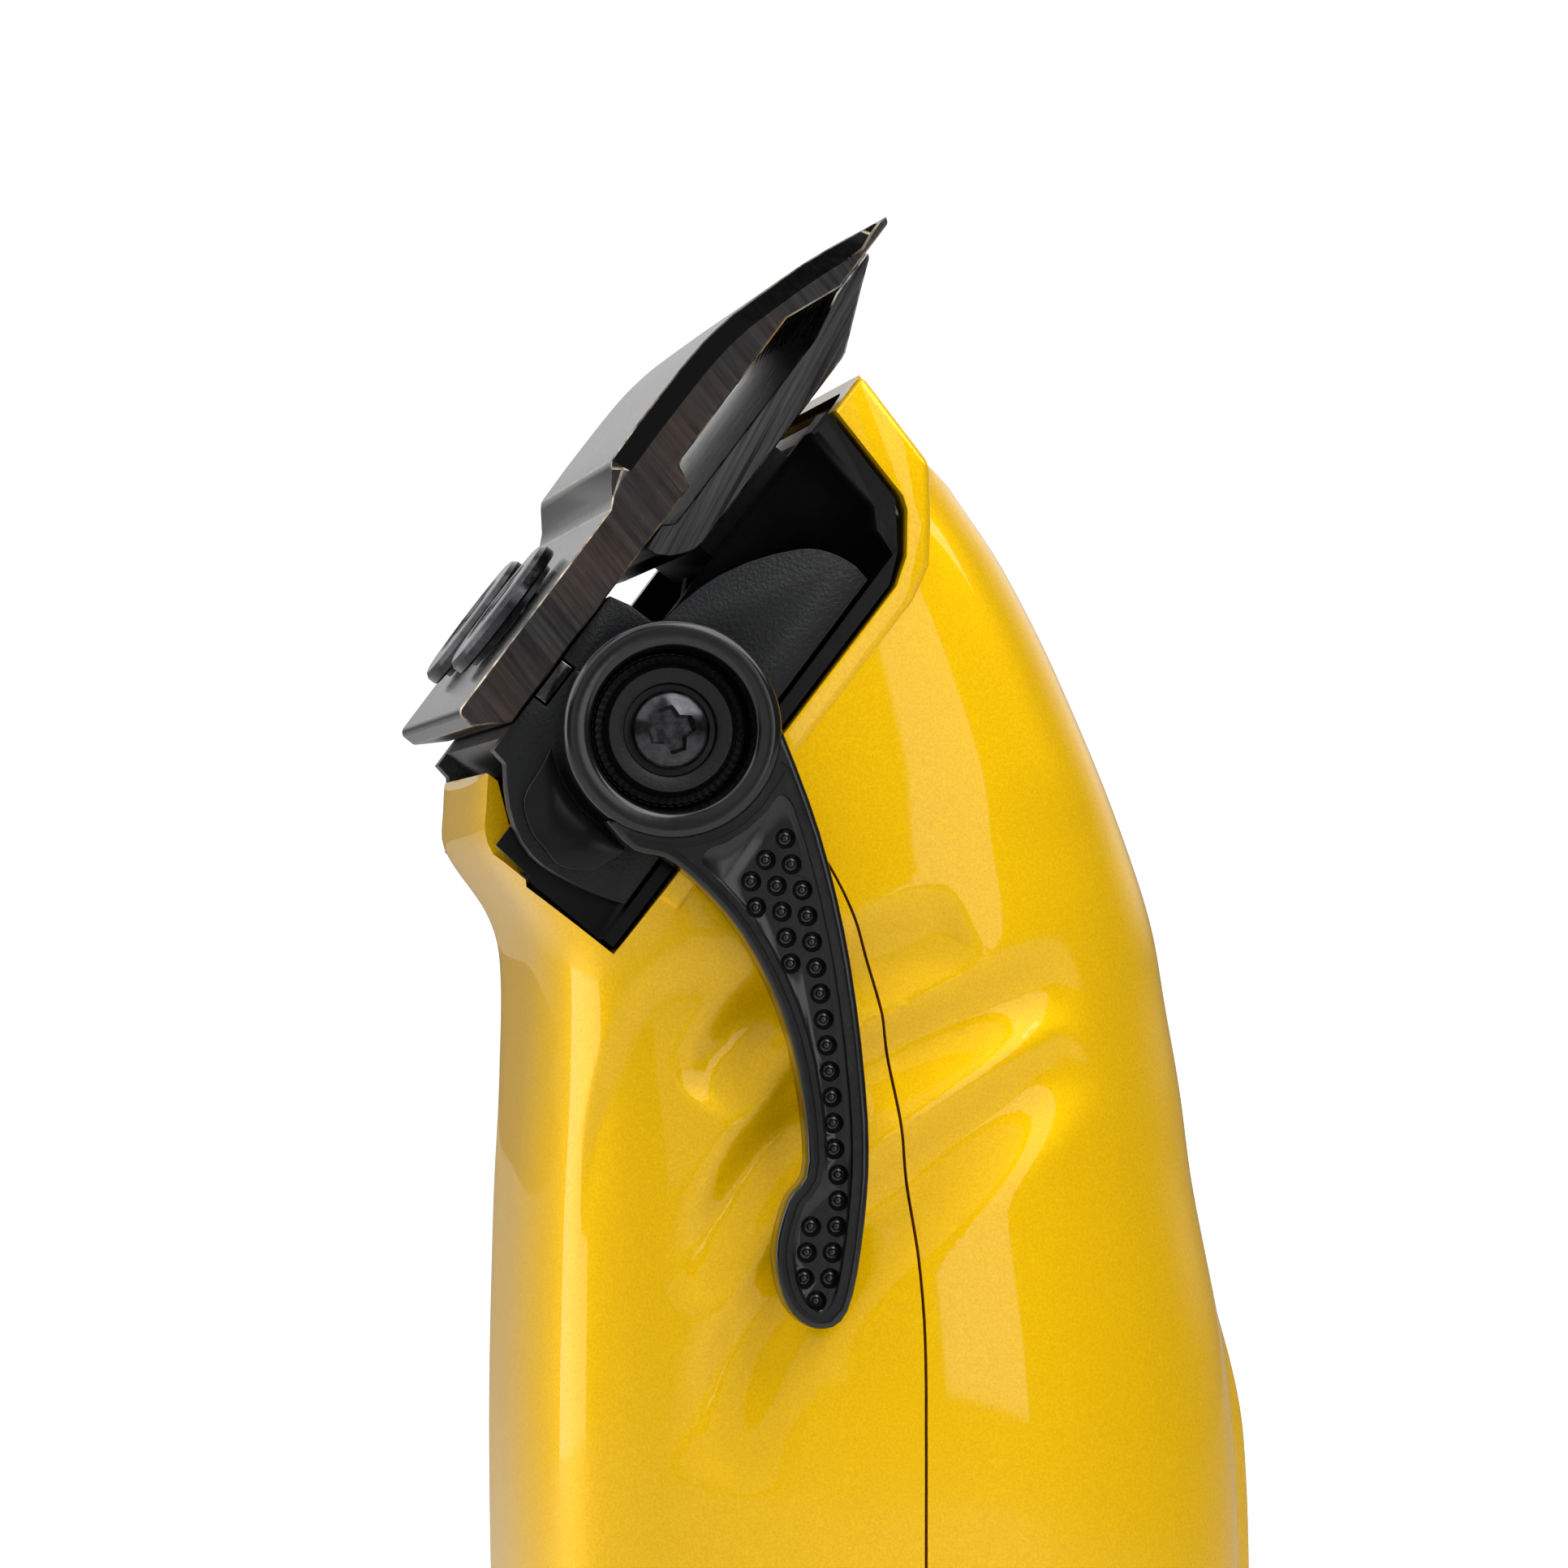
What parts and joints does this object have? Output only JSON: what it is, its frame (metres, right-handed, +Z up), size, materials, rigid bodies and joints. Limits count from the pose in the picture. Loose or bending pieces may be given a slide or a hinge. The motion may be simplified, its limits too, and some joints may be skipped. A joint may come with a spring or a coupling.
{
  "type": "hair clipper",
  "caption": "Cordless hair clipper: painted two-part handle, slanted blade set on a sliding carrier, taper lever on the side, thumb switch on the back, standing on its flat tail.",
  "frame": {"origin": "centre of the flat tail that the clipper stands on", "axes": "+Z up the handle towards the blades, +X towards the thumb side with the switch, -Y towards the side with the taper lever"},
  "size_m": [0.0507, 0.0536, 0.158],
  "materials": {
    "yellow_paint": "golden yellow metal-flake lacquer, clear coated",
    "black_matte": "fine satin black moulding",
    "black_texture": "spark-eroded black moulding",
    "black_gloss": "polished black",
    "black_steel": "black oxide",
    "blade_steel": "ground, dark plated steel",
    "bright_steel": "zinc-plated or ground steel",
    "brass": "sintered bronze bush",
    "board_green": "solder mask",
    "cell_sleeve": "shrink sleeve",
    "wire_red": "wire insulation",
    "lens_clear": "clear light guide"
  },
  "bodies": {
    "housing": {"front_shell": "yellow_paint", "back_shell": "yellow_paint", "tail_cap": "black_matte", "shell_screw_upper_left": "black_steel", "shell_screw_upper_right": "black_steel", "shell_screw_lower_left": "black_steel", "shell_screw_lower_right": "black_steel", "charge_socket": "bright_steel", "charge_socket_tongue": "black_matte", "battery_cell": "cell_sleeve", "battery_tab_positive": "bright_steel", "battery_tab_negative": "bright_steel", "circuit_board": "board_green", "switch_body": "black_matte", "indicator_lens": "lens_clear", "motor_can": "bright_steel", "motor_end_bell": "black_matte", "motor_bracket": "black_matte", "motor_screw_left": "bright_steel", "motor_screw_right": "bright_steel", "motor_damper": "black_matte", "motor_wire_red": "wire_red", "motor_wire_black": "black_matte", "chassis": "black_gloss", "tension_spring": "bright_steel", "guide_pin": "black_gloss", "guide_screw": "black_steel"},
    "lever": {"taper_lever": "black_gloss", "lever_boss": "black_texture", "lever_screw": "black_steel", "lever_cam": "bright_steel", "cam_wave_washer": "bright_steel", "cam_clip": "blade_steel"},
    "carrier": {"blade_carrier": "black_texture", "blade_nut_plate": "blade_steel", "fixed_blade": "blade_steel", "blade_screw_left": "black_steel", "blade_screw_right": "black_steel"},
    "cutter": {"cutter_blade": "blade_steel", "drive_yoke": "black_texture", "yoke_screw_left": "bright_steel", "yoke_screw_right": "bright_steel"},
    "rotor": {"motor_shaft": "bright_steel", "cam_sleeve": "bright_steel", "cam_bearing": "brass"},
    "switch": {"switch_knob": "black_gloss"}
  },
  "joints": [
    {"name": "lever_turn", "type": "hinge", "parent": "housing", "child": "lever", "pos_m": [-0.0147, 0, 0.1277], "axis": [0, -1, 0], "range_deg": [0, 40]},
    {"name": "carrier_slide", "type": "slide", "parent": "housing", "child": "carrier", "axis": [0.6018, 0, 0.7986], "range_m": [-0.0013, 0]},
    {"name": "cutter_slide", "type": "slide", "parent": "housing", "child": "cutter", "axis": [0, 1, 0], "range_m": [-0.00125, 0.00125]},
    {"name": "rotor_spin", "type": "hinge", "parent": "housing", "child": "rotor", "pos_m": [-0.00809, 0, 0.13398], "axis": [-0.1702, 0, 0.9854], "continuous": true},
    {"name": "switch_slide", "type": "slide", "parent": "housing", "child": "switch", "axis": [0, 0, 1], "range_m": [0, 0.004]}
  ],
  "couplings": [
    {"joint": "lever_turn", "follows": "carrier_slide", "rad_per_m": -537.02}
  ]
}
